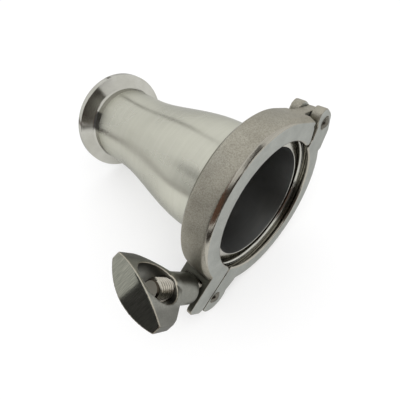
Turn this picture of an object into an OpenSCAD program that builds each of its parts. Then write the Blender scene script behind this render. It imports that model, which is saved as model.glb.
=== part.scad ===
// Concentric reducer with a hinged clamp closed on its large ferrule.
// All sizes are in millimetres. The pieces are drawn on the clamp's own axes: the tube axis is Z, the hinge
// is towards +X, and half B lies towards +Y. at_rest() then lays the whole thing down as it lies on a table.

/* [Reducer] */
// Outside diameter of the tube at the large end
large_tube_od = 50.8; // [38.1, 50.8, 63.5]
// Outside diameter of the tube at the small end
small_tube_od = 38.1; // [25.4, 38.1, 50.8]
// Wall thickness of the tube
wall = 1.65; // [1.2:0.05:2.5]
// Length from the small face to the large face
length = 96; // [70:1:150]
// Length of straight bore at the small end
small_straight = 18.5; // [13:0.5:30]
// Length of straight bore at the large end
large_straight = 17; // [13:0.5:30]

/* [Ferrules] */
// How far the large ferrule's rim stands out from the tube
large_rim_height = 6.6; // [5:0.1:8]
// How far the small ferrule's rim stands out from the tube
small_rim_height = 6.2; // [5:0.1:8]
// Thickness of a rim at its edge
rim_thickness = 2.85; // [2:0.05:4]
// Angle of the rims' backs and of the clamp's groove
rim_angle = 20; // [12:1:25]
// Length of a ferrule, up to its weld
ferrule_length = 12.7; // [11:0.1:21]
// Depth of the round gasket groove in a face
groove_depth = 1.6; // [1:0.1:2]
// Distance of the groove's middle from the bore
groove_offset = 4.4; // [3:0.1:6]

/* [Clamp ring] */
// Thickness of the ring outside its groove
ring_wall = 3.25; // [2.5:0.05:6]
// How far the lips reach in over the large rim
lip_overlap = 4.6; // [3.6:0.1:5.6]
// Thickness of a lip at its inner edge
lip_edge = 1.18; // [1:0.02:3]
// Thickness of the gasket that the groove leaves room for
gasket_thickness = 1.6; // [1:0.1:2.4]
// Space between the ferrule's face and the front of the groove
face_play = 1.45; // [0.5:0.05:2]
// Space between the rim's edge and the floor of the groove
rim_clearance = 0.35; // [0.1:0.05:1]
// Chamfer along the ring's outer edges
edge_chamfer = 1.5; // [0.4:0.1:2]
// Gap between the two halves
split_gap = 0.7; // [0.3:0.1:1.2]
// Radius of the corners where a lip ends at the split
lip_corner = 2.4; // [0.5:0.1:3]

/* [Hinge] */
// Distance of the hinge pin outside the ring
hinge_offset = 3.6; // [3:0.1:6]
// How far the hinge pin lies below the split
hinge_drop = 1.3; // [0.5:0.1:2.5]
// Diameter of both pins
pin_diameter = 5; // [3:0.1:6]
// Running clearance of a pin in the piece that turns on it, per side
pin_clearance = 0.05; // [0.02:0.01:0.1]
// How far the domed pin ends stand out
pin_proud = 1.2; // [0.4:0.1:2]
// Thickness of metal around the pin in the tongue and in the ears
knuckle_wall = 1.8; // [1.5:0.1:2.4]
// How far the ears stand above the hinge pin
ear_rise = 3.8; // [1:0.1:4]
// Distance between the hinge pin and half A's end
end_setback = 4.1; // [4:0.1:6]
// Thickness of the tongue in the middle of the hinge
tongue_thickness = 4.4; // [3:0.1:6]
// Side clearance of the tongue and of the bolt's eye, per side
side_clearance = 0.2; // [0.1:0.05:0.5]

/* [Swing bolt and nut] */
// Space between the bolt's eye and the ring
eye_clearance = 0.6; // [0.5:0.1:3]
// How far the bolt's pin lies below the split
bolt_drop = 3.8; // [2:0.1:6]
// Outside diameter of the bolt's thread
bolt_diameter = 7.9; // [5.9, 7.9, 9.9]
// Diameter of the bolt's eye
eye_diameter = 12; // [10:0.5:16]
// Thickness of the bolt's eye
eye_thickness = 7.6; // [6:0.1:9]
// Height of the face the nut bears on, above the split
lug_height = 9.8; // [7:0.1:14]
// Length of the lugs beyond the bolt
lug_beyond = 7.7; // [6:0.1:10]
// Radius of the corners at the end of half A's lug
lug_corner = 2.5; // [1:0.1:3]
// How far the bolt stands up into the nut's window
bolt_beyond = 8; // [4:0.1:10]
// Chamfer at the bolt's end
thread_chamfer = 1; // [0.5:0.1:2]
// How far the nut is backed off from its seat
nut_gap = 1.25; // [1.2:0.05:3]
// Diameter of the nut's round hub
hub_diameter = 12.1; // [11.5:0.1:16]
// Height of the nut's hub
hub_height = 12; // [6:0.1:13]
// Height of the shoulder between the hub and the wings
shoulder_height = 3.5; // [2:0.1:6]
// Height of the whole nut
nut_height = 31.7; // [30:0.1:36]
// How much the nut's top is crowned from end to end
crown = 2; // [0.5:0.1:4]
// Length of the nut's top, tip to tip
wing_span = 27.4; // [24:0.2:34]
// Width of the nut's top
wing_width = 9.7; // [7:0.1:12]
// Width of the flat at each tip of the nut's top
tip_width = 3.3; // [1:0.1:5]
// Height of the flat at each tip
tip_height = 8; // [4:0.1:12]
// Angle at which the wings rise from the hub
wing_angle = 45; // [35:1:50]
// Width of the window through the nut
window_width = 16.2; // [10:0.2:16.4]
// Height of the window
window_height = 16.4; // [16.4:0.2:19]
// Thickness of the bar above the window
bar_thickness = 1.1; // [0.8:0.1:4]
// Angle of the nut about the bolt
nut_turn = 75; // [0:0.1:180]

/* [Hidden] */
$fn = 96;
large_bore_r = large_tube_od / 2 - wall;
small_bore_r = small_tube_od / 2 - wall;
large_rim_r = large_tube_od / 2 + large_rim_height;
small_rim_r = small_tube_od / 2 + small_rim_height;
groove_r = large_rim_r + rim_clearance;
clamp_r = groove_r + ring_wall;
lip_r = large_rim_r - lip_overlap;
groove_width = 2 * rim_thickness + gasket_thickness;
face_forward = groove_width / 2 - face_play;
half_width = groove_width / 2 + lip_overlap * tan(rim_angle) + lip_edge;
clamp_width = 2 * half_width;
lip_chamfer = 0.4 * lip_edge;
far = 3 * clamp_r;
split = split_gap / 2;
round_y = split + lip_corner;
round_x = sqrt(pow(lip_r + lip_corner, 2) - round_y * round_y);
pin_r = pin_diameter / 2;
knuckle_r = pin_r + knuckle_wall;
hinge_reach = clamp_r + hinge_offset;
bolt_reach = clamp_r + eye_diameter / 2 + eye_clearance;
tongue_slot = tongue_thickness + 2 * side_clearance;
eye_slot = max(eye_thickness, bolt_diameter) + 2 * side_clearance;
fork_slot = bolt_diameter + 2.5 * side_clearance;
boss_r = 0.6 * eye_diameter;
lug_tip = bolt_reach + lug_beyond;
nut_bore_r = bolt_diameter / 2 + 0.1;
hub_r = hub_diameter / 2;
wing_r = wing_span / 2;
crown_r = (wing_r * wing_r + crown * crown) / (2 * crown);
tip_low = nut_height - crown - tip_height;
lens_rise = (wing_width - tip_width) / 2;
lens_r = (wing_r * wing_r + lens_rise * lens_rise) / (2 * lens_rise);
lens_shift = lens_r - wing_width / 2;
window_r = window_width / 2;
window_high = nut_height - bar_thickness - window_r;
window_low = window_high + window_width - window_height;
bolt_top = lug_height + nut_gap + window_low - window_r + bolt_beyond;
steps = 24;
end_angle = 30;
tilt = atan((clamp_r - small_rim_r) / (length - face_forward - half_width));
lug_arm = sqrt(bolt_reach * bolt_reach + bolt_drop * bolt_drop);
roll = asin((clamp_r - boss_r) / lug_arm) - atan(bolt_drop / bolt_reach);

// half the width of the clamp's groove at a radius
function groove_half(r) = groove_width / 2 + (large_rim_r - r) * tan(rim_angle);
// a point of the straight end of half A, a distance along it from where it leaves the round
function end_line(run) = [clamp_r * cos(end_angle) + run * sin(end_angle),
                          run * cos(end_angle) - clamp_r * sin(end_angle)];
// the smooth step of the cone between the two tubes
function ease(u) = u * u * (3 - 2 * u);
function cone_r(u, small_r, large_r) = small_r + (large_r - small_r) * ease(u);

// lays the clamp's axes down on the table, with the middle of the large face at the origin
module at_rest() {
    rotate([0, 90 + tilt, 0]) rotate([0, 0, -90 - roll]) translate([0, 0, face_forward]) children();
}

// a ferrule with its face at z = 0, pointing down
module ferrule(tube_r, rim_r) {
    bore_r = tube_r - wall;
    taper_end = rim_thickness + (rim_r - tube_r - 1.5) * tan(rim_angle);
    difference() {
        rotate_extrude() polygon([
            [bore_r, 0], [rim_r - 0.3, 0], [rim_r, 0.3], [rim_r, rim_thickness],
            [tube_r + 1.5, taper_end], [tube_r + 0.45, taper_end + 0.5], [tube_r, taper_end + 1.6],
            [tube_r, ferrule_length], [bore_r, ferrule_length]]);
        rotate_extrude() translate([bore_r + groove_offset, 0]) circle(r = groove_depth, $fn = 48);
    }
}

module small_ferrule() {
    color([0.74, 0.73, 0.70]) at_rest() translate([0, 0, length - face_forward]) mirror([0, 0, 1])
        ferrule(small_tube_od / 2, small_rim_r);
}

module large_ferrule() {
    color([0.74, 0.73, 0.70]) at_rest() translate([0, 0, -face_forward])
        ferrule(large_tube_od / 2, large_rim_r);
}

module reducer_body() {
    start = large_straight;
    span = length - small_straight - large_straight;
    outer = [for (i = [0:steps]) [cone_r(i / steps, large_tube_od / 2, small_tube_od / 2),
                                  start + span * i / steps]];
    inner = [for (i = [0:steps]) [cone_r(1 - i / steps, large_bore_r, small_bore_r),
                                  start + span * (1 - i / steps)]];
    color([0.70, 0.69, 0.65]) at_rest() translate([0, 0, -face_forward]) rotate_extrude() polygon(concat(
        [[large_tube_od / 2, ferrule_length]], outer, [[small_tube_od / 2, length - ferrule_length],
        [small_bore_r, length - ferrule_length]], inner, [[large_bore_r, ferrule_length]]));
}

// the outline of the ring's outside, from the middle outwards
function ring_outline() = [[0, -half_width], [clamp_r - edge_chamfer, -half_width],
    [clamp_r, edge_chamfer - half_width], [clamp_r, half_width - edge_chamfer],
    [clamp_r - edge_chamfer, half_width], [0, half_width]];

// the solid disc that both halves are cut from
module ring_blank() {
    rotate_extrude() polygon(ring_outline());
}

// the opening and the V-shaped groove that are cut out of the disc
module ring_hollow() {
    rotate_extrude() polygon([[0, -clamp_width], [lip_r + lip_chamfer, -clamp_width],
        [lip_r + lip_chamfer, -half_width], [lip_r, lip_chamfer - half_width], [lip_r, -groove_half(lip_r)],
        [groove_r, -groove_half(groove_r)], [groove_r, groove_half(groove_r)], [lip_r, groove_half(lip_r)],
        [lip_r, half_width - lip_chamfer], [lip_r + lip_chamfer, half_width],
        [lip_r + lip_chamfer, clamp_width], [0, clamp_width]]);
}

// a slab between two heights above and below the ring's middle
module slab(low, high) {
    translate([0, 0, low]) linear_extrude(height = high - low) children();
}

module hinge_axis() {
    translate([hinge_reach, hinge_drop, 0]) children();
}

module bolt_axis() {
    translate([-bolt_reach, bolt_drop, 0]) children();
}

// what rounds off the corner where half A's lip ends at the hinge
module lip_round() {
    inner = (lip_r - 1) / (lip_r + lip_corner);
    slab(-clamp_width, clamp_width) difference() {
        polygon([[round_x, 0], [round_x, -round_y], [inner * round_x, -inner * round_y], [inner * round_x, 0]]);
        translate([round_x, -round_y]) circle(r = lip_corner);
    }
}

// half of the ring, on the -Y side, with the corners of its lips rounded
module half_ring() {
    difference() {
        intersection() {
            ring_blank();
            translate([-far / 2, -far, -clamp_width]) cube([far, far - split, 2 * clamp_width]);
        }
        lip_round();
        mirror([1, 0, 0]) lip_round();
    }
}

// half A carries the hinge tongue and the fork that the nut bears on
module clamp_half_a() {
    end_x = hinge_reach - end_setback;
    color([0.62, 0.60, 0.54]) at_rest() difference() {
        union() {
            difference() {
                union() {
                    half_ring();
                    rotate([0, 0, -end_angle]) rotate([-90, 0, 0]) linear_extrude(height = clamp_r / 3)
                        intersection() {
                            polygon(ring_outline());
                            translate([groove_r, -clamp_width]) square([clamp_r, 2 * clamp_width]);
                        }
                }
                slab(-clamp_width, clamp_width) polygon([[round_x, 0], [round_x, -split],
                    [end_x, hinge_drop - 1.8 * end_setback], [end_x, -clamp_r], [far, -clamp_r], [far, 0]]);
            }
            slab(-half_width, half_width) {
                translate([lug_corner - lug_tip, -lug_height]) square([lug_tip - lug_corner - lip_r,
                    lug_height - split]);
                translate([-lug_tip, lug_corner - lug_height]) square([lug_tip - lip_r,
                    lug_height - split - 2 * lug_corner]);
                translate([lug_corner - lug_tip, lug_corner - lug_height]) circle(r = lug_corner);
                translate([lug_corner - lug_tip, -split - lug_corner]) circle(r = lug_corner);
            }
            slab(-tongue_thickness / 2, tongue_thickness / 2) {
                polygon([[round_x, -split], [round_x, -clamp_r / 3], end_line(clamp_r / 7),
                    [hinge_reach - 0.6 * knuckle_r, hinge_drop - 2.4 * knuckle_r],
                    [hinge_reach + 0.8 * knuckle_r, hinge_drop - 0.6 * knuckle_r],
                    [hinge_reach, hinge_drop], [hinge_reach - knuckle_r, -split]]);
                translate([hinge_reach, hinge_drop]) circle(r = knuckle_r);
            }
        }
        ring_hollow();
        mirror([1, 0, 0]) lip_round();
        translate([-far, -far / 4, -fork_slot / 2])
            cube([far - bolt_reach + fork_slot / 2 + 1, far, fork_slot]);
        hinge_axis() translate([0, 0, -clamp_width]) cylinder(r = pin_r, h = 2 * clamp_width);
    }
}

// half B carries the hinge ears and the clevis of the swing bolt
module clamp_half_b() {
    color([0.60, 0.60, 0.57]) at_rest() difference() {
        union() {
            mirror([0, 1, 0]) half_ring();
            slab(-half_width, half_width) {
                translate([hinge_reach, hinge_drop]) circle(r = knuckle_r);
                translate([hinge_reach, hinge_drop - ear_rise]) circle(r = 0.85 * knuckle_r);
                polygon([[round_x + 1.5, split], [hinge_reach - 0.85 * knuckle_r, hinge_drop - ear_rise],
                    [hinge_reach + 0.85 * knuckle_r, hinge_drop - ear_rise],
                    [hinge_reach + knuckle_r * cos(2), hinge_drop - knuckle_r * sin(2)],
                    [hinge_reach + knuckle_r * cos(12), hinge_drop + knuckle_r * sin(12)],
                    [hinge_reach + 0.2 * knuckle_r, hinge_drop + 1.8 * knuckle_r],
                    [clamp_r * cos(22), clamp_r * sin(22)], [round_x + 1.5, clamp_r / 3]]);
            }
            intersection() {
                slab(-half_width, half_width) {
                    translate([-bolt_reach, bolt_drop]) circle(r = boss_r);
                    polygon([[-bolt_reach, 0], [-round_x, 0], [-round_x, clamp_r / 3],
                        [-clamp_r * cos(19), clamp_r * sin(19)],
                        [0.5 * boss_r - bolt_reach, bolt_drop + 0.866 * boss_r], [-bolt_reach, bolt_drop]]);
                }
                translate([-far, split, -clamp_width]) cube([far, far, 2 * clamp_width]);
            }
        }
        ring_hollow();
        mirror([0, 1, 0]) mirror([1, 0, 0]) lip_round();
        translate([-far, -1, -eye_slot / 2]) cube([far - clamp_r - eye_clearance / 3, far, eye_slot]);
        hinge_axis() slab(-tongue_slot / 2, tongue_slot / 2) {
            circle(r = knuckle_r + 0.4);
            polygon([[-far / 4, -hinge_drop], [-knuckle_r, 0.4], [knuckle_r + 0.4, 0], [knuckle_r, -far / 4],
                [-far / 4, -far / 4]]);
        }
        hinge_axis() translate([0, 0, -clamp_width]) cylinder(r = pin_r + pin_clearance, h = 2 * clamp_width);
        bolt_axis() translate([0, 0, -clamp_width]) cylinder(r = pin_r, h = 2 * clamp_width);
    }
}

// a plain pin with a domed end at each side
module domed_pin() {
    dome_r = (pin_r * pin_r + pin_proud * pin_proud) / (2 * pin_proud);
    reach = half_width + pin_proud;
    intersection() {
        translate([0, 0, -reach]) cylinder(r = pin_r, h = 2 * reach);
        translate([0, 0, reach - dome_r]) sphere(r = dome_r);
    }
    intersection() {
        translate([0, 0, -reach]) cylinder(r = pin_r, h = 2 * reach);
        translate([0, 0, dome_r - reach]) sphere(r = dome_r);
    }
    translate([0, 0, -half_width]) cylinder(r = pin_r, h = clamp_width);
}

module hinge_pin() {
    color([0.72, 0.71, 0.68]) at_rest() hinge_axis() domed_pin();
}

module bolt_pin() {
    color([0.72, 0.71, 0.68]) at_rest() bolt_axis() domed_pin();
}

module swing_bolt() {
    bolt_r = bolt_diameter / 2;
    reach = bolt_top + bolt_drop;
    color([0.70, 0.69, 0.66]) at_rest() bolt_axis() difference() {
        union() {
            translate([0, 0, -eye_thickness / 2]) cylinder(d = eye_diameter, h = eye_thickness);
            rotate([90, 0, 0]) intersection() {
                cylinder(r = bolt_r, h = reach);
                rotate_extrude() polygon([[0, 0], [bolt_r + thread_chamfer, 0],
                    [bolt_r + thread_chamfer, reach - 2 * thread_chamfer], [bolt_r - thread_chamfer, reach],
                    [0, reach]]);
            }
        }
        translate([0, 0, -clamp_width]) cylinder(r = pin_r + pin_clearance, h = 2 * clamp_width);
    }
}

// the nut on its own axis, with its seat at z = 0
module nut_blank() {
    intersection() {
        translate([0, wing_width, 0]) rotate([90, 0, 0]) linear_extrude(height = 2 * wing_width)
            polygon([[0, tip_low - wing_r * tan(wing_angle)], [wing_r - 1, tip_low - tan(wing_angle)],
                [wing_r, tip_low + 1], [wing_r, nut_height + 1], [-wing_r, nut_height + 1],
                [-wing_r, tip_low + 1], [1 - wing_r, tip_low - tan(wing_angle)]]);
        translate([0, wing_width, nut_height - crown_r]) rotate([90, 0, 0])
            cylinder(r = crown_r, h = 2 * wing_width);
        translate([0, lens_shift, 0]) cylinder(r = lens_r, h = 2 * nut_height);
        translate([0, -lens_shift, 0]) cylinder(r = lens_r, h = 2 * nut_height);
    }
    cylinder(r = hub_r, h = hub_height);
    translate([0, 0, hub_height]) cylinder(r1 = hub_r, r2 = wing_width / 2 - 0.2, h = shoulder_height);
}

module wing_nut() {
    color([0.56, 0.56, 0.50]) at_rest() translate([-bolt_reach, -lug_height - nut_gap, 0]) rotate([90, 0, 0])
        rotate([0, 0, nut_turn]) difference() {
            nut_blank();
            translate([0, 2 * wing_width, window_low]) rotate([90, 0, 0])
                cylinder(r = window_r, h = 4 * wing_width);
            translate([0, 2 * wing_width, window_high]) rotate([90, 0, 0])
                cylinder(r = window_r, h = 4 * wing_width);
            translate([-window_r, -2 * wing_width, window_low])
                cube([window_width, 4 * wing_width, window_high - window_low]);
            translate([0, 0, -1]) cylinder(r = nut_bore_r, h = window_low + 1);
        }
}

small_ferrule();
reducer_body();
large_ferrule();
clamp_half_a();
clamp_half_b();
hinge_pin();
bolt_pin();
swing_bolt();
wing_nut();
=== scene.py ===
"""Looks of a clamped concentric reducer: turned ferrules, a brushed cone and a cast hinged clamp.

Pieces are modelled in millimetres on the clamp's own axes (Z along the tube, +X to the hinge, +Y to half B),
and laid down with REST, which is the same lay as in the part's source.
"""
import math

import bmesh
import bpy
from mathutils import Matrix, Vector

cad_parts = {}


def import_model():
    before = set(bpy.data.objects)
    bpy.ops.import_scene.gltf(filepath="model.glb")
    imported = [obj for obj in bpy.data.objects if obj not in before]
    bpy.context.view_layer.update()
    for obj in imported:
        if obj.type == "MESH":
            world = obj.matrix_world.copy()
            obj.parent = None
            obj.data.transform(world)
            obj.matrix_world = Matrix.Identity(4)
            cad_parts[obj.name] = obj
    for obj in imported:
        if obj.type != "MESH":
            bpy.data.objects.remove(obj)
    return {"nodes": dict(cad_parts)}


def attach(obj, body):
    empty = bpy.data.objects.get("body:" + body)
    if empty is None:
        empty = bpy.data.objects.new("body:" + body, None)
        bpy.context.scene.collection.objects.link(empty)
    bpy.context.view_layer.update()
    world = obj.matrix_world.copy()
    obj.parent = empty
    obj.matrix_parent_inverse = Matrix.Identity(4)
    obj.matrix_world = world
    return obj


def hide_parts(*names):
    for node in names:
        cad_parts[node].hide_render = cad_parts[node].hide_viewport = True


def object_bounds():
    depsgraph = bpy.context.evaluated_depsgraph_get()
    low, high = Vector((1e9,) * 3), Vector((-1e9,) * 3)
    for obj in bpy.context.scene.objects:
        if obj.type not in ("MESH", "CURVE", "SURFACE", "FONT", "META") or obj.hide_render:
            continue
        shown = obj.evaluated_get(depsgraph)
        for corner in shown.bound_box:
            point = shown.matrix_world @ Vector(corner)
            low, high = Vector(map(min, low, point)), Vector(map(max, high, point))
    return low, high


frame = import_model()
cad_low, cad_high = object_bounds()
bpy.context.scene.view_settings.view_transform = "Standard"

# Sizes in millimetres, the same as the part's.
LARGE_TUBE_R = 25.4
SMALL_TUBE_R = 19.05
WALL = 1.65
LENGTH = 96.0
SMALL_STRAIGHT = 22.5
LARGE_STRAIGHT = 24.0
LARGE_RIM_R = 32.0
SMALL_RIM_R = 25.25
RIM_THICKNESS = 2.85
RIM_ANGLE = math.radians(20)
FERRULE_LENGTH = 12.7
NECK_STEP = 0.7
NECK_RISE = 0.12
NECK_CORNER = 0.5
NECK_LENGTH = 3.6
NECK_BLEND = 8.0
SEAL_GROOVE_DEPTH = 1.6
SEAL_GROOVE_OFFSET = 4.4
CLAMP_R = 35.6
HALF_WIDTH = 6.504
EDGE_CHAMFER = 1.5
CUT_OFF_CENTRE = 3.4
LIP_R = 27.4
FACE_FORWARD = 2.2
HINGE_REACH, HINGE_DROP = 39.2, 1.3
BOLT_REACH, BOLT_DROP = 42.2, 3.8
PIN_R = 2.5
PIN_PROUD = 1.2
BOLT_R = 3.95
EYE_R = 6.0
EYE_THICKNESS = 7.6
BOLT_LENGTH = 37.05
THREAD_PITCH = 1.25
THREAD_DEPTH = 0.72
LUG_HEIGHT = 9.8
NUT_GAP = 1.25
NUT_HEIGHT = 31.7
NUT_TURN = math.radians(75)
WINDOW_R = 8.1
WINDOW_MIDDLE = 22.4
TILT = math.atan((CLAMP_R - SMALL_RIM_R) / (LENGTH - FACE_FORWARD - HALF_WIDTH))
ROLL = math.asin((CLAMP_R - 1.2 * EYE_R) / math.hypot(BOLT_REACH, BOLT_DROP)) - math.atan(BOLT_DROP / BOLT_REACH)

MM = 0.001
LAY = (Matrix.Rotation(math.pi / 2 + TILT, 4, "Y") @ Matrix.Rotation(-math.pi / 2 - ROLL, 4, "Z"))
REST = Matrix.Scale(MM, 4) @ LAY @ Matrix.Translation((0, 0, FACE_FORWARD))
TUBE = REST @ Matrix.Translation((0, 0, -FACE_FORWARD))
NUT = (REST @ Matrix.Translation((-BOLT_REACH, -LUG_HEIGHT - NUT_GAP, 0)) @ Matrix.Rotation(math.pi / 2, 4, "X")
       @ Matrix.Rotation(NUT_TURN, 4, "Z"))
TUBE_AXIS = LAY @ Vector((0, 0, 1))
NUT_AXIS = LAY @ Vector((0, -1, 0))


# ---- shapes ----

def rounded(corners, segments=5):
    """A closed outline from (x, y, radius) corners, with an arc at each corner that has a radius."""
    points = []
    for i, (x, y, radius) in enumerate(corners):
        corner = Vector((x, y))
        if not radius:
            points.append(corner)
            continue
        back = (Vector(corners[i - 1][:2]) - corner).normalized()
        ahead = (Vector(corners[(i + 1) % len(corners)][:2]) - corner).normalized()
        half = back.angle(ahead) / 2
        centre = corner + (back + ahead).normalized() * (radius / math.sin(half))
        start = corner + back * (radius / math.tan(half)) - centre
        end = corner + ahead * (radius / math.tan(half)) - centre
        sweep = math.atan2(start.x * end.y - start.y * end.x, start.dot(end))
        for k in range(segments + 1):
            angle = math.atan2(start.y, start.x) + sweep * k / segments
            points.append(centre + Vector((math.cos(angle), math.sin(angle))) * radius)
    return points


def turned(outline, steps=192, closed=True):
    """A piece turned about Z from an outline of (radius, height) points."""
    bm = bmesh.new()
    verts = [bm.verts.new((x, 0, y)) for x, y in outline]
    edges = [bm.edges.new(pair) for pair in zip(verts, verts[1:])]
    if closed:
        edges.append(bm.edges.new((verts[-1], verts[0])))
    bmesh.ops.spin(bm, geom=verts + edges, cent=(0, 0, 0), axis=(0, 0, 1), angle=math.tau, steps=steps,
                   use_merge=True)
    bmesh.ops.remove_doubles(bm, verts=bm.verts, dist=1e-4)
    bmesh.ops.recalc_face_normals(bm, faces=bm.faces)
    return bm


def made(name, bm, place, node, body, materials, crease=40):
    """Puts a finished piece in the scene in place of its CAD node, riding on its body."""
    bmesh.ops.transform(bm, matrix=place, verts=bm.verts)
    mesh = bpy.data.meshes.new(name)
    bm.to_mesh(mesh)
    bm.free()
    mesh.shade_smooth()
    mesh.set_sharp_from_angle(angle=math.radians(crease))
    piece = bpy.data.objects.new(name, mesh)
    bpy.context.scene.collection.objects.link(piece)
    for material in materials:
        mesh.materials.append(material)
    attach(piece, body)
    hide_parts(node)
    return piece


def ferrule(tube_r, rim_r, place, name, node):
    """A turned ferrule: bore, grooved face, thin rim, sloped back and short tube."""
    bore_r = tube_r - WALL
    groove = bore_r + SEAL_GROOVE_OFFSET
    taper_end = RIM_THICKNESS + (rim_r - tube_r) * math.tan(RIM_ANGLE)
    bowl = [(groove - SEAL_GROOVE_DEPTH * math.cos(a), SEAL_GROOVE_DEPTH * math.sin(a), 0)
            for a in [math.pi * k / 12 for k in range(1, 12)]]
    outline = rounded([(bore_r, 0, 0.25), (groove - SEAL_GROOVE_DEPTH, 0, 0.12)] + bowl +
                      [(groove + SEAL_GROOVE_DEPTH, 0, 0.12), (rim_r, 0, 0.3),
                       (rim_r, RIM_THICKNESS, 0.3),
                       (tube_r + NECK_STEP, taper_end - NECK_STEP * math.tan(RIM_ANGLE), NECK_CORNER),
                       (tube_r + NECK_RISE, taper_end + NECK_STEP, NECK_CORNER),
                       (tube_r, taper_end + NECK_LENGTH, NECK_BLEND),
                       (tube_r, FERRULE_LENGTH, 0), (bore_r, FERRULE_LENGTH, 0)], 8)
    piece = made(name, turned(outline), place, node, "reducer", [polished_steel, bore_steel_painted_shade, brushed_tube])
    mark(piece, place, 1, lambda p: math.hypot(p.x, p.y) < bore_r + 0.05)
    mark(piece, place, 2, lambda p: p.z > taper_end + NECK_LENGTH + 0.4 and math.hypot(p.x, p.y) > bore_r + WALL / 2)


def mark(piece, axes, index, inside):
    """Gives the faces whose middle passes the test, on the given axes, another of the piece's materials."""
    back = axes.inverted()
    for face in piece.data.polygons:
        if inside(back @ face.center):
            face.material_index = index


def reducer_body():
    """The tube between the ferrules, with a smooth cone between two straight lengths."""
    def radius(share, large, small):
        return large + (small - large) * share * share * (3 - 2 * share)
    span = LENGTH - SMALL_STRAIGHT - LARGE_STRAIGHT
    steps = 64
    shares = [k / steps for k in range(steps + 1)]
    outer = [(LARGE_TUBE_R, FERRULE_LENGTH)] + [
        (radius(s, LARGE_TUBE_R, SMALL_TUBE_R), LARGE_STRAIGHT + span * s) for s in shares]
    outer += [(SMALL_TUBE_R, LENGTH - FERRULE_LENGTH)]
    inner = [(x - WALL, y) for x, y in outer]
    bm = turned([Vector(p) for p in outer + inner[::-1]])
    piece = made("drawn_tube", bm, TUBE, "reducer_body", "reducer", [brushed_tube, bore_steel_painted_shade])
    limit = WALL / 2
    mark(piece, TUBE, 1, lambda p: math.hypot(p.x, p.y) < limit + radius(
        min(1, max(0, (p.z - LARGE_STRAIGHT) / span)), LARGE_TUBE_R, SMALL_TUBE_R) - WALL)


def casting(node, body, name, material, axes, grain, rounds):
    """A cast piece: the CAD solid with its edges softened as a casting's are, remeshed on its own axes."""
    source = frame["nodes"][node]
    bm = bmesh.new()
    bm.from_mesh(source.data)
    bmesh.ops.remove_doubles(bm, verts=bm.verts, dist=1e-7)
    bmesh.ops.transform(bm, matrix=axes.inverted(), verts=bm.verts)
    bmesh.ops.recalc_face_normals(bm, faces=bm.faces)
    mesh = bpy.data.meshes.new(name + "_raw")
    bm.to_mesh(mesh)
    bm.free()
    raw = bpy.data.objects.new(name + "_raw", mesh)
    bpy.context.scene.collection.objects.link(raw)
    remesh = raw.modifiers.new("even", "REMESH")
    remesh.mode, remesh.voxel_size = "VOXEL", grain
    smooth = raw.modifiers.new("soften", "SMOOTH")
    smooth.factor, smooth.iterations = 0.5, rounds
    bm = bmesh.new()
    bm.from_object(raw, bpy.context.evaluated_depsgraph_get())
    bpy.data.objects.remove(raw)
    bpy.data.meshes.remove(mesh)
    return made(name, bm, axes, node, body, [material], crease=180)


def pin(reach, drop, name, node, body):
    """A straight pin with a domed end at each side."""
    dome_r = (PIN_R ** 2 + PIN_PROUD ** 2) / (2 * PIN_PROUD)
    end = HALF_WIDTH + PIN_PROUD
    opening = math.asin(PIN_R / dome_r)
    dome = [Vector((dome_r * math.sin(a), end - dome_r + dome_r * math.cos(a)))
            for a in [opening * k / 10 for k in range(11)]]
    outline = dome + [Vector((p.x, -p.y)) for p in reversed(dome)]
    bm = turned(outline, 64, closed=False)
    made(name, bm, REST @ Matrix.Translation((reach, drop, 0)), node, body, [turned_pin], crease=30)


def swing_bolt():
    """The eye bolt: a bevelled eye, a plain neck and a rolled thread."""
    half = EYE_THICKNESS / 2
    bm = turned(rounded([(0.5, -half, 0), (EYE_R, -half, 0.8), (EYE_R, half, 0.8), (0.5, half, 0)]), 96)
    core = BOLT_R - THREAD_DEPTH
    shank = turned([Vector(p) for p in ((0, 0), (core, 0), (core, BOLT_LENGTH - 0.4), (core - 0.4, BOLT_LENGTH),
                                        (0, BOLT_LENGTH))], 64, closed=False)
    thread = bmesh.new()
    ridge = [thread.verts.new(p) for p in ((core - 0.2, 0, -0.58), (core, 0, -0.55), (BOLT_R, 0, -0.09),
                                           (BOLT_R, 0, 0.09), (core, 0, 0.55), (core - 0.2, 0, 0.58))]
    edges = [thread.edges.new((ridge[i - 1], ridge[i])) for i in range(len(ridge))]
    start = EYE_R + 1
    turns = int((BOLT_LENGTH - 0.6 - start) / THREAD_PITCH)
    per_turn = 36
    bmesh.ops.spin(thread, geom=ridge + edges, cent=(0, 0, 0), axis=(0, 0, 1), angle=math.tau * turns,
                   steps=per_turn * turns, dvec=(0, 0, THREAD_PITCH / per_turn), use_merge=False)
    bmesh.ops.holes_fill(thread, edges=[e for e in thread.edges if e.is_boundary], sides=0)
    bmesh.ops.recalc_face_normals(thread, faces=thread.faces)
    bmesh.ops.translate(thread, vec=(0, 0, start), verts=thread.verts)
    stand = Matrix.Rotation(math.pi / 2, 4, "X")
    for part in (shank, thread):
        bmesh.ops.transform(part, matrix=stand, verts=part.verts)
        loose = bpy.data.meshes.new("loose")
        part.to_mesh(loose)
        part.free()
        bm.from_mesh(loose)
        bpy.data.meshes.remove(loose)
    made("eye_bolt", bm, REST @ Matrix.Translation((-BOLT_REACH, BOLT_DROP, 0)), "swing_bolt", "bolt",
         [thread_steel], crease=30)


# ---- finishes ----

def add(tree, kind, inputs=None, **settings):
    """A shader node with its settings, and its inputs either set or linked."""
    made_node = tree.nodes.new("ShaderNode" + kind)
    for key, value in settings.items():
        setattr(made_node, key, value)
    for key, value in (inputs or {}).items():
        if isinstance(value, bpy.types.NodeSocket):
            tree.links.new(value, made_node.inputs[key])
        else:
            made_node.inputs[key].default_value = value
    return made_node


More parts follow.
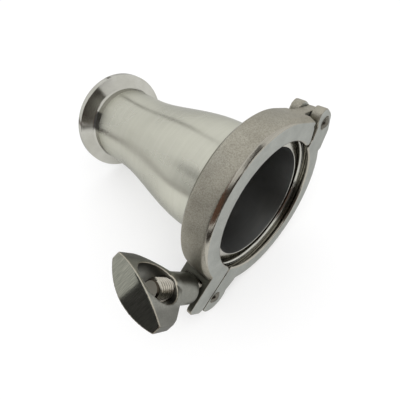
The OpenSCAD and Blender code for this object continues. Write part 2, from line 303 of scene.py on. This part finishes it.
def steel(name, colour, roughness, anisotropic=0.0, edge_tint=0.6):
    """A bare metal material, ready for its grain."""
    material = bpy.data.materials.new(name)
    material.use_nodes = True
    tree = material.node_tree
    shader = tree.nodes["Principled BSDF"]
    shader.inputs["Metallic"].default_value = 1.0
    shader.inputs["Base Color"].default_value = (*colour, 1)
    shader.inputs["Roughness"].default_value = roughness
    shader.inputs["Anisotropic"].default_value = anisotropic
    shader.inputs["Specular Tint"].default_value = (edge_tint, edge_tint, edge_tint, 1)
    return material, tree, shader


def on_axes(tree, axes):
    """Object coordinates in millimetres on a piece's own axes."""
    spot, turn, size = axes.inverted().decompose()
    place = add(tree, "TexCoord").outputs["Object"]
    return add(tree, "Mapping", {"Vector": place, "Location": spot, "Rotation": turn.to_euler(), "Scale": size}
               ).outputs["Vector"]


def calc(tree, kind, first, second=0.0):
    """One step of arithmetic, held between 0 and 1."""
    node = add(tree, "Math", {0: first, 1: second}, operation=kind)
    node.use_clamp = True
    return node.outputs["Value"]


def along(tree, axis):
    """How squarely a surface faces along an axis, from -1 to 1."""
    normal = add(tree, "TexCoord").outputs["Normal"]
    return add(tree, "VectorMath", {0: normal, 1: tuple(axis)}, operation="DOT_PRODUCT").outputs["Value"]


def from_axis(tree, place):
    """Distance from the tube's axis, in millimetres."""
    flat = add(tree, "Mapping", {"Vector": place, "Scale": (1, 1, 0)}).outputs["Vector"]
    return add(tree, "VectorMath", {0: flat}, operation="LENGTH").outputs["Value"]


def rings(tree, place):
    """Coordinates that are the same all round the axis, for tool marks."""
    height = add(tree, "SeparateXYZ", {"Vector": place}).outputs["Z"]
    return add(tree, "CombineXYZ", {"X": from_axis(tree, place), "Y": height}).outputs["Vector"]


def noise(tree, place, spread, detail=3.0, rough=0.5):
    """Noise whose coarseness along each axis is set in patches per millimetre."""
    stretched = add(tree, "Mapping", {"Vector": place, "Scale": spread}).outputs["Vector"]
    return add(tree, "TexNoise", {"Vector": stretched, "Scale": 1.0, "Detail": detail, "Roughness": rough}
               ).outputs["Fac"]


def between(tree, value, low, high, out_low=0.0, out_high=1.0):
    """A value carried from one range to another, held at its ends."""
    return add(tree, "MapRange", {"Value": value, "From Min": low, "From Max": high, "To Min": out_low,
                                  "To Max": out_high}).outputs["Result"]


def mix_colour(tree, amount, first, second):
    """Mixes two colours or sockets."""
    node = tree.nodes.new("ShaderNodeMix")
    node.data_type = "RGBA"
    for socket, value in ((node.inputs[0], amount), (node.inputs[6], first), (node.inputs[7], second)):
        if isinstance(value, bpy.types.NodeSocket):
            tree.links.new(value, socket)
        else:
            socket.default_value = value
    return node.outputs[2]


def bump(tree, shader, height, depth, strength=1.0):
    """Relief of a given depth in millimetres."""
    node = add(tree, "Bump", {"Height": height, "Distance": depth * MM, "Strength": strength})
    tree.links.new(node.outputs["Normal"], shader.inputs["Normal"])
    return node.outputs["Normal"]


def across_grain(tree, shader):
    """Spreads the shine across marks that run round the tube's axis."""
    normal = add(tree, "NewGeometry").outputs["Normal"]
    around = add(tree, "VectorMath", {0: tuple(TUBE_AXIS), 1: normal}, operation="CROSS_PRODUCT").outputs["Vector"]
    profile = add(tree, "VectorMath", {0: normal, 1: around}, operation="CROSS_PRODUCT").outputs["Vector"]
    tree.links.new(profile, shader.inputs["Tangent"])


def brushed_tube_steel():
    """Steel brushed round the cone by hand, with softer patches and a few stray scratches."""
    material, tree, shader = steel("brushed_tube", (0.55, 0.54, 0.47), 0.3, 0.75)
    place = on_axes(tree, REST)
    hair = noise(tree, place, (0.09, 0.09, 6.0), 3)
    band = noise(tree, place, (0.03, 0.03, 0.8), 3)
    cloud = noise(tree, place, (0.06, 0.06, 0.035), 3)
    fleck = noise(tree, place, (1.5, 1.5, 1.5), 2)
    colour = mix_colour(tree, between(tree, cloud, 0.35, 0.65), (0.502, 0.502, 0.432, 1), (0.599, 0.599, 0.513, 1))
    colour = mix_colour(tree, between(tree, hair, 0.35, 0.65, 0, 0.35), colour, (0.508, 0.497, 0.432, 1))
    colour = mix_colour(tree, between(tree, band, 0.45, 0.65, 0, 0.12), colour, (0.713, 0.702, 0.637, 1))
    colour = mix_colour(tree, between(tree, fleck, 0.70, 0.78, 0, 0.25), colour, (0.389, 0.367, 0.313, 1))
    tree.links.new(colour, shader.inputs["Base Color"])
    tree.links.new(between(tree, cloud, 0.3, 0.7, 0.24, 0.33), shader.inputs["Roughness"])
    bump(tree, shader, hair, 0.004, 0.6)
    across_grain(tree, shader)
    return material


def polished_ferrule_steel():
    """Turned and polished steel with faint tool marks round the axis."""
    material, tree, shader = steel("polished_steel", (0.60, 0.59, 0.55), 0.17, 0.5)
    place = on_axes(tree, REST)
    marks = noise(tree, rings(tree, place), (9.0, 9.0, 0.0), 3)
    cloud = noise(tree, place, (0.12, 0.12, 0.12), 3)
    colour = mix_colour(tree, between(tree, cloud, 0.3, 0.7), (0.46, 0.455, 0.405, 1), (0.56, 0.555, 0.51, 1))
    colour = mix_colour(tree, between(tree, marks, 0.45, 0.7, 0, 0.4), colour, (0.45, 0.43, 0.38, 1))
    tree.links.new(colour, shader.inputs["Base Color"])
    tree.links.new(between(tree, cloud, 0.3, 0.7, 0.12, 0.2), shader.inputs["Roughness"])
    bump(tree, shader, marks, 0.004, 0.5)
    across_grain(tree, shader)
    return material


def dull_bore_painted_shade():
    """The dull inside of the tube, its dark grey colour painted shade."""
    material, tree, shader = steel("bore_steel_painted_shade", (0.05, 0.05, 0.048), 0.4, 0.4)
    place = on_axes(tree, REST)
    hair = noise(tree, place, (0.05, 0.05, 2.2), 3)
    cloud = noise(tree, place, (0.05, 0.05, 0.05), 2)
    # Painted shade: the bore's grey tones are far darker than the outside steel, standing in for the shade inside
    # the tube.
    colour = mix_colour(tree, between(tree, hair, 0.3, 0.7), (0.255, 0.262, 0.258, 1), (0.315, 0.315, 0.3, 1))
    colour = mix_colour(tree, between(tree, cloud, 0.4, 0.7), colour, (0.225, 0.228, 0.225, 1))
    tree.links.new(colour, shader.inputs["Base Color"])
    tree.links.new(between(tree, cloud, 0.3, 0.7, 0.42, 0.52), shader.inputs["Roughness"])
    across_grain(tree, shader)
    return material


def cast_clamp_steel():
    """Blasted castings with ground sides and turned chamfers, told apart by the way a surface faces, and painted
    shade on the nut's seat.
    """
    material, tree, shader = steel("cast_clamp", (0.36, 0.34, 0.30), 0.45)
    place = on_axes(tree, REST)
    sideways = add(tree, "Math", {0: along(tree, TUBE_AXIS)}, operation="ABSOLUTE").outputs["Value"]
    radius = from_axis(tree, place)
    flat = between(tree, sideways, 0.93, 0.985)
    slope = between(tree, sideways, 0.40, 0.58)
    chamfer = calc(tree, "MULTIPLY", calc(tree, "SUBTRACT", slope, flat),
                   between(tree, radius, CLAMP_R - 2.6, CLAMP_R - 2.2))
    height = add(tree, "SeparateXYZ", {"Vector": place}).outputs["Y"]
    lean = add(tree, "Math", {0: height, 1: CUT_OFF_CENTRE / CLAMP_R, 2: radius}, operation="MULTIPLY_ADD")
    chamfer = calc(tree, "MULTIPLY", chamfer, between(tree, lean.outputs["Value"], CLAMP_R - CUT_OFF_CENTRE + 0.25,
                                                      CLAMP_R - CUT_OFF_CENTRE + 0.05))
    inside = calc(tree, "MULTIPLY", calc(tree, "SUBTRACT", 1.0, flat),
                  between(tree, radius, LIP_R + 5.2, LIP_R + 4.9))
    grain = noise(tree, place, (2.5, 2.5, 2.5), 3, 0.6)
    pits = noise(tree, place, (1.3, 1.3, 1.3), 3, 0.6)
    mottle = noise(tree, place, (0.16, 0.16, 0.16), 3)
    warm = noise(tree, place, (0.05, 0.05, 0.05), 2)
    marks = noise(tree, rings(tree, place), (5.0, 5.0, 0.0), 3)
    cast = mix_colour(tree, between(tree, mottle, 0.3, 0.7), (0.409, 0.387, 0.322, 1), (0.507, 0.485, 0.409, 1))
    cast = mix_colour(tree, between(tree, warm, 0.45, 0.7, 0, 0.5), cast, (0.371, 0.365, 0.322, 1))
    cast = mix_colour(tree, between(tree, grain, 0.35, 0.62, 0.6, 0), cast, (0.207, 0.191, 0.158, 1))
    cast = mix_colour(tree, between(tree, pits, 0.58, 0.72, 0, 0.45), cast, (0.545, 0.523, 0.469, 1))
    ground = mix_colour(tree, between(tree, mottle, 0.3, 0.7), (0.382, 0.392, 0.365, 1), (0.469, 0.48, 0.447, 1))
    ground = mix_colour(tree, between(tree, pits, 0.6, 0.72, 0, 0.4), ground, (0.491, 0.496, 0.469, 1))
    ground = mix_colour(tree, between(tree, grain, 0.3, 0.6, 0.3, 0), ground, (0.24, 0.251, 0.229, 1))
    turned_cut = mix_colour(tree, between(tree, marks, 0.4, 0.6), (0.327, 0.305, 0.256, 1), (0.458, 0.441, 0.387, 1))
    colour = mix_colour(tree, flat, cast, ground)
    colour = mix_colour(tree, calc(tree, "ADD", chamfer, inside), colour, turned_cut)
    # Painted shade: the lug face under the nut's hub is painted near-black, where the hub shades it.
    beyond = between(tree, add(tree, "SeparateXYZ", {"Vector": place}).outputs["X"], 3 - CLAMP_R, 1 - CLAMP_R)
    seat_painted_shade = calc(tree, "MULTIPLY", between(tree, along(tree, NUT_AXIS), 0.8, 0.93), beyond)
    colour = mix_colour(tree, seat_painted_shade, colour, (0.12, 0.12, 0.0981, 1))
    tree.links.new(colour, shader.inputs["Base Color"])
    smooth = calc(tree, "ADD", chamfer, inside)
    rough = add(tree, "Math", {0: between(tree, flat, 0, 1, 0.5, 0.42), 1: between(tree, smooth, 0, 1, 0, 0.34)},
                operation="SUBTRACT").outputs["Value"]
    tree.links.new(rough, shader.inputs["Roughness"])
    blasted = add(tree, "Math", {0: grain, 1: between(tree, flat, 0, 1, 1, 0.4)}, operation="MULTIPLY")
    relief = mix_colour(tree, smooth, blasted.outputs["Value"], calc(tree, "MULTIPLY", marks, 0.12))
    bump(tree, shader, relief, 0.08, 0.9)
    return material


def cast_nut_steel():
    """The nut's blasted body, its ground top and the worn edge between them, which also carries a painted highlight.
    """
    material, tree, shader = steel("cast_nut", (0.30, 0.30, 0.26), 0.42)
    place = on_axes(tree, NUT)
    parts = add(tree, "SeparateXYZ", {"Vector": place})
    facing = along(tree, NUT_AXIS)
    above = between(tree, parts.outputs["Z"], NUT_HEIGHT - 4.2, NUT_HEIGHT - 3.4)
    top = calc(tree, "MULTIPLY", between(tree, facing, 0.86, 0.93), above)
    edge = calc(tree, "SUBTRACT", calc(tree, "MULTIPLY", between(tree, facing, 0.15, 0.4), above), top)
    across = add(tree, "Math", {0: parts.outputs["Y"]}, operation="ABSOLUTE").outputs["Value"]
    hub = between(tree, parts.outputs["Z"], 14.5, 12.0)
    mottle = noise(tree, place, (0.22, 0.22, 0.22), 4)
    grain = noise(tree, place, (1.6, 1.6, 1.6), 4, 0.65)
    lines = noise(tree, place, (3.2, 0.25, 0.0), 3)
    body = mix_colour(tree, between(tree, mottle, 0.3, 0.7), (0.36, 0.365, 0.33, 1), (0.50, 0.50, 0.45, 1))
    body = mix_colour(tree, between(tree, grain, 0.3, 0.65, 0.45, 0), body, (0.14, 0.14, 0.125, 1))
    # Painted shade: surfaces near the nut's middle plane, in the window and the bore, are painted near-black, off
    # the hub.
    hollow_painted_shade = between(tree, across, 4.6, 3.2)
    body = mix_colour(tree, calc(tree, "MULTIPLY", calc(tree, "MULTIPLY", hollow_painted_shade, 0.75),
                                 calc(tree, "SUBTRACT", 1.0, hub)), body, (0.12, 0.118, 0.105, 1))
    # The hub, below z 12 to 14.5, is made darker.
    body = mix_colour(tree, calc(tree, "MULTIPLY", hub, 0.6), body, (0.20, 0.20, 0.175, 1))
    ground = mix_colour(tree, between(tree, lines, 0.3, 0.7), (0.19, 0.195, 0.165, 1), (0.32, 0.32, 0.27, 1))
    colour = mix_colour(tree, top, body, ground)
    # The rounded edge round the top is worn and carries a painted highlight in a pale colour.
    colour = mix_colour(tree, edge, colour, (0.46, 0.43, 0.36, 1))
    # Painted highlight: a pale ring on the rounded edge of the window.
    upright = add(tree, "Mapping", {"Vector": place, "Location": (0, 0, -WINDOW_MIDDLE), "Scale": (1, 0, 1)})
    reach = add(tree, "VectorMath", {0: upright.outputs["Vector"]}, operation="LENGTH").outputs["Value"]
    broad = add(tree, "Math", {0: along(tree, (NUT.to_3x3() @ Vector((0, 1, 0))).normalized())},
                operation="ABSOLUTE").outputs["Value"]
    rim = calc(tree, "SUBTRACT", between(tree, broad, 0.2, 0.4), between(tree, broad, 0.86, 0.95))
    rim = calc(tree, "MULTIPLY", rim, between(tree, reach, WINDOW_R + 0.9, WINDOW_R + 0.6))
    colour = mix_colour(tree, rim, colour, (0.62, 0.58, 0.48, 1))
    tree.links.new(colour, shader.inputs["Base Color"])
    tree.links.new(between(tree, top, 0, 1, 0.40, 0.13), shader.inputs["Roughness"])
    relief = mix_colour(tree, top, grain, calc(tree, "MULTIPLY", lines, 0.05))
    bump(tree, shader, relief, 0.05, 0.7)
    return material


def turned_pin_steel():
    """Pin steel with fine turning marks, mottled in two dark tones that are painted shade."""
    material, tree, shader = steel("turned_pin", (0.42, 0.41, 0.37), 0.3)
    place = on_axes(tree, REST)
    fine = noise(tree, place, (0.7, 0.7, 0.7), 3)
    tree.links.new(between(tree, fine, 0.25, 0.75, 0.16, 0.28), shader.inputs["Roughness"])
    # Painted shade: both tones are far darker than the other steels.
    colour = mix_colour(tree, between(tree, fine, 0.3, 0.7), (0.12, 0.112, 0.092, 1), (0.192, 0.184, 0.16, 1))
    tree.links.new(colour, shader.inputs["Base Color"])
    bump(tree, shader, fine, 0.02, 0.6)
    return material


def rolled_thread_steel():
    """Thread steel, bright on the crests and darker in the roots, where the dark is painted shade."""
    material, tree, shader = steel("thread_steel", (0.5, 0.47, 0.40), 0.25)
    place = on_axes(tree, REST @ Matrix.Translation((-BOLT_REACH, BOLT_DROP, 0)))
    flat = add(tree, "Mapping", {"Vector": place, "Scale": (1, 0, 1)}).outputs["Vector"]
    reach = add(tree, "VectorMath", {0: flat}, operation="LENGTH").outputs["Value"]
    fine = noise(tree, place, (0.9, 0.9, 0.9), 3)
    tip = between(tree, along(tree, NUT_AXIS), 0.95, 0.98)
    tree.links.new(between(tree, tip, 0, 1, 0.24, 0.6), shader.inputs["Roughness"])
    colour = mix_colour(tree, between(tree, fine, 0.3, 0.7), (0.50, 0.47, 0.40, 1), (0.58, 0.55, 0.48, 1))
    colour = mix_colour(tree, tip, colour, (0.50, 0.48, 0.42, 1))
    # Painted shade: the thread roots are painted near-black.
    root_painted_shade = calc(tree, "MULTIPLY", between(tree, reach, BOLT_R - THREAD_DEPTH, BOLT_R - 0.1, 1, 0),
                between(tree, along(tree, NUT_AXIS), 0.95, 0.8))
    colour = mix_colour(tree, root_painted_shade, colour, (0.06, 0.05, 0.038, 1))
    tree.links.new(colour, shader.inputs["Base Color"])
    return material


brushed_tube = brushed_tube_steel()
polished_steel = polished_ferrule_steel()
bore_steel_painted_shade = dull_bore_painted_shade()
cast_clamp = cast_clamp_steel()
cast_nut = cast_nut_steel()
turned_pin = turned_pin_steel()
thread_steel = rolled_thread_steel()

# ---- pieces ----
ferrule(LARGE_TUBE_R, LARGE_RIM_R, TUBE, "large_turned_ferrule", "large_ferrule")
ferrule(SMALL_TUBE_R, SMALL_RIM_R,
        TUBE @ Matrix.Translation((0, 0, LENGTH)) @ Matrix.Rotation(math.pi, 4, "X"), "small_turned_ferrule",
        "small_ferrule")
reducer_body()
casting("clamp_half_a", "reducer", "upper_half", cast_clamp, REST, 0.36, 3)
casting("clamp_half_b", "half_b", "lower_half", cast_clamp, REST, 0.36, 3)
casting("wing_nut", "nut", "cast_wing_nut", cast_nut, NUT, 0.2, 20)
pin(HINGE_REACH, HINGE_DROP, "hinge_pin_domed", "hinge_pin", "reducer")
pin(-BOLT_REACH, BOLT_DROP, "bolt_pin_domed", "bolt_pin", "half_b")
swing_bolt()


# ---- studio ----

def floor():
    """A plain pale floor, white to the camera and in the metal, that keeps a soft shadow."""
    bm = bmesh.new()
    bmesh.ops.create_grid(bm, x_segments=1, y_segments=1, size=3.0)
    mesh = bpy.data.meshes.new("studio_floor")
    bm.to_mesh(mesh)
    bm.free()
    plane = bpy.data.objects.new("studio_floor", mesh)
    bpy.context.scene.collection.objects.link(plane)
    plane.location = (0.05, 0, cad_low.z)
    material = bpy.data.materials.new("pale_floor")
    material.use_nodes = True
    tree = material.node_tree
    shader = tree.nodes["Principled BSDF"]
    shader.inputs["Base Color"].default_value = (0.98, 0.98, 0.98, 1)
    shader.inputs["Roughness"].default_value = 0.9
    shader.inputs["Specular IOR Level"].default_value = 0.0
    path = add(tree, "LightPath")
    seen = calc(tree, "ADD", path.outputs["Is Camera Ray"], path.outputs["Is Glossy Ray"])
    seen = calc(tree, "ADD", seen, path.outputs["Is Transmission Ray"])
    white = add(tree, "Emission", {"Color": (1, 1, 1, 1), "Strength": 1.0})
    blend = add(tree, "MixShader", {0: calc(tree, "MULTIPLY", seen, 0.45), 1: shader.outputs["BSDF"],
                                    2: white.outputs["Emission"]})
    tree.links.new(blend.outputs["Shader"], tree.nodes["Material Output"].inputs["Surface"])
    mesh.materials.append(material)


def world():
    """Plain soft light from all round, seen as white behind the object."""
    sky = bpy.data.worlds.new("studio")
    bpy.context.scene.world = sky
    sky.use_nodes = True
    sky.node_tree.nodes["Background"].inputs["Color"].default_value = (1, 1, 1, 1)
    sky.node_tree.nodes["Background"].inputs["Strength"].default_value = 1.0


def dark_card(name, corners, colour):
    """A dark card beside the table, out of view, that gives the metal something to reflect."""
    bm = bmesh.new()
    bm.faces.new([bm.verts.new(corner) for corner in corners])
    mesh = bpy.data.meshes.new(name)
    bm.to_mesh(mesh)
    bm.free()
    card = bpy.data.objects.new(name, mesh)
    bpy.context.scene.collection.objects.link(card)
    card.visible_camera = card.visible_diffuse = card.visible_shadow = False
    material = bpy.data.materials.new(name)
    material.use_nodes = True
    shader = material.node_tree.nodes["Principled BSDF"]
    shader.inputs["Base Color"].default_value = (*colour, 1)
    shader.inputs["Roughness"].default_value = 0.8
    shader.inputs["Specular IOR Level"].default_value = 0.1
    mesh.materials.append(material)


def around(distance, bearing, height):
    """A place at a distance and bearing from the tube's large end."""
    return (distance * math.cos(math.radians(bearing)), distance * math.sin(math.radians(bearing)), height)


def cards():
    """Dark cards on the camera's side, and two narrow strips."""
    base = cad_low.z + 0.001
    for k, (start, end, top, colour) in enumerate([
            (58, 95, 0.50, (0.085, 0.083, 0.085)), (95, 128, 0.90, (0.07, 0.068, 0.068)),
            (128, 152, 0.80, (0.15, 0.085, 0.06)), (152, 190, 0.34, (0.07, 0.062, 0.055))]):
        dark_card("dark_card_%d" % k, [around(0.6, start, base), around(0.6, end, base), around(0.6, end, top),
                                       around(0.6, start, top)], colour)
    dark_card("dark_corner_card", [around(0.6, 180, 0.34), around(0.6, 212, 0.36), around(0.6, 212, 0.62),
                                   around(0.6, 180, 0.5)], (0.03, 0.022, 0.018))
    dark_card("dark_high_card", [around(0.6, 47, 0.24), around(0.6, 58, 0.20), around(0.6, 58, 0.46),
                                 around(0.6, 47, 0.46)], (0.05, 0.048, 0.045))
    dark_card("dark_table_card", [around(0.17, 97, base), around(0.6, 80, base), around(0.6, 195, base),
                                  around(0.17, 180, base)], (0.025, 0.018, 0.014))
    dark_card("upper_strip", [around(0.6, -18, 0.14), around(0.6, -22, 0.14), around(0.6, -22, 0.62),
                              around(0.6, -18, 0.62)], (0.12, 0.11, 0.10))
    for k, (start, end) in enumerate([((0.25, 0.07), (0.18, 0.13)), ((0.18, 0.13), (0.12, 0.22))]):
        dark_card("lower_strip_%d" % k, [(*start, base), (*end, base), (*end, base + 0.017), (*start, base + 0.017)],
                  (0.10, 0.07, 0.06))


def lamp(name, place, aim, size, watts):
    """A soft square lamp."""
    data = bpy.data.lights.new(name, "AREA")
    data.size, data.energy = size, watts
    lamp_object = bpy.data.objects.new(name, data)
    bpy.context.scene.collection.objects.link(lamp_object)
    lamp_object.location = place
    lamp_object.visible_glossy = False
    lamp_object.rotation_euler = (Vector(aim) - Vector(place)).to_track_quat("-Z", "Y").to_euler()


def camera():
    """The camera at the photograph's viewing angle, close above the clamp."""
    data = bpy.data.cameras.new("camera")
    data.sensor_width = 36
    data.lens = 27.05
    data.shift_x, data.shift_y = 0.0011, 0.0125
    data.clip_start, data.clip_end = 0.005, 10
    eye = bpy.data.objects.new("camera", data)
    bpy.context.scene.collection.objects.link(eye)
    eye.location = (-0.0344, 0.07087, 0.09264)
    eye.rotation_euler = [math.radians(a) for a in (38.336, -1.193, -135.072)]
    bpy.context.scene.camera = eye


floor()
world()
cards()
camera()
lamp("key", (-0.1, 0.5, 0.6), (0.05, 0, 0), 0.4, 1.5)
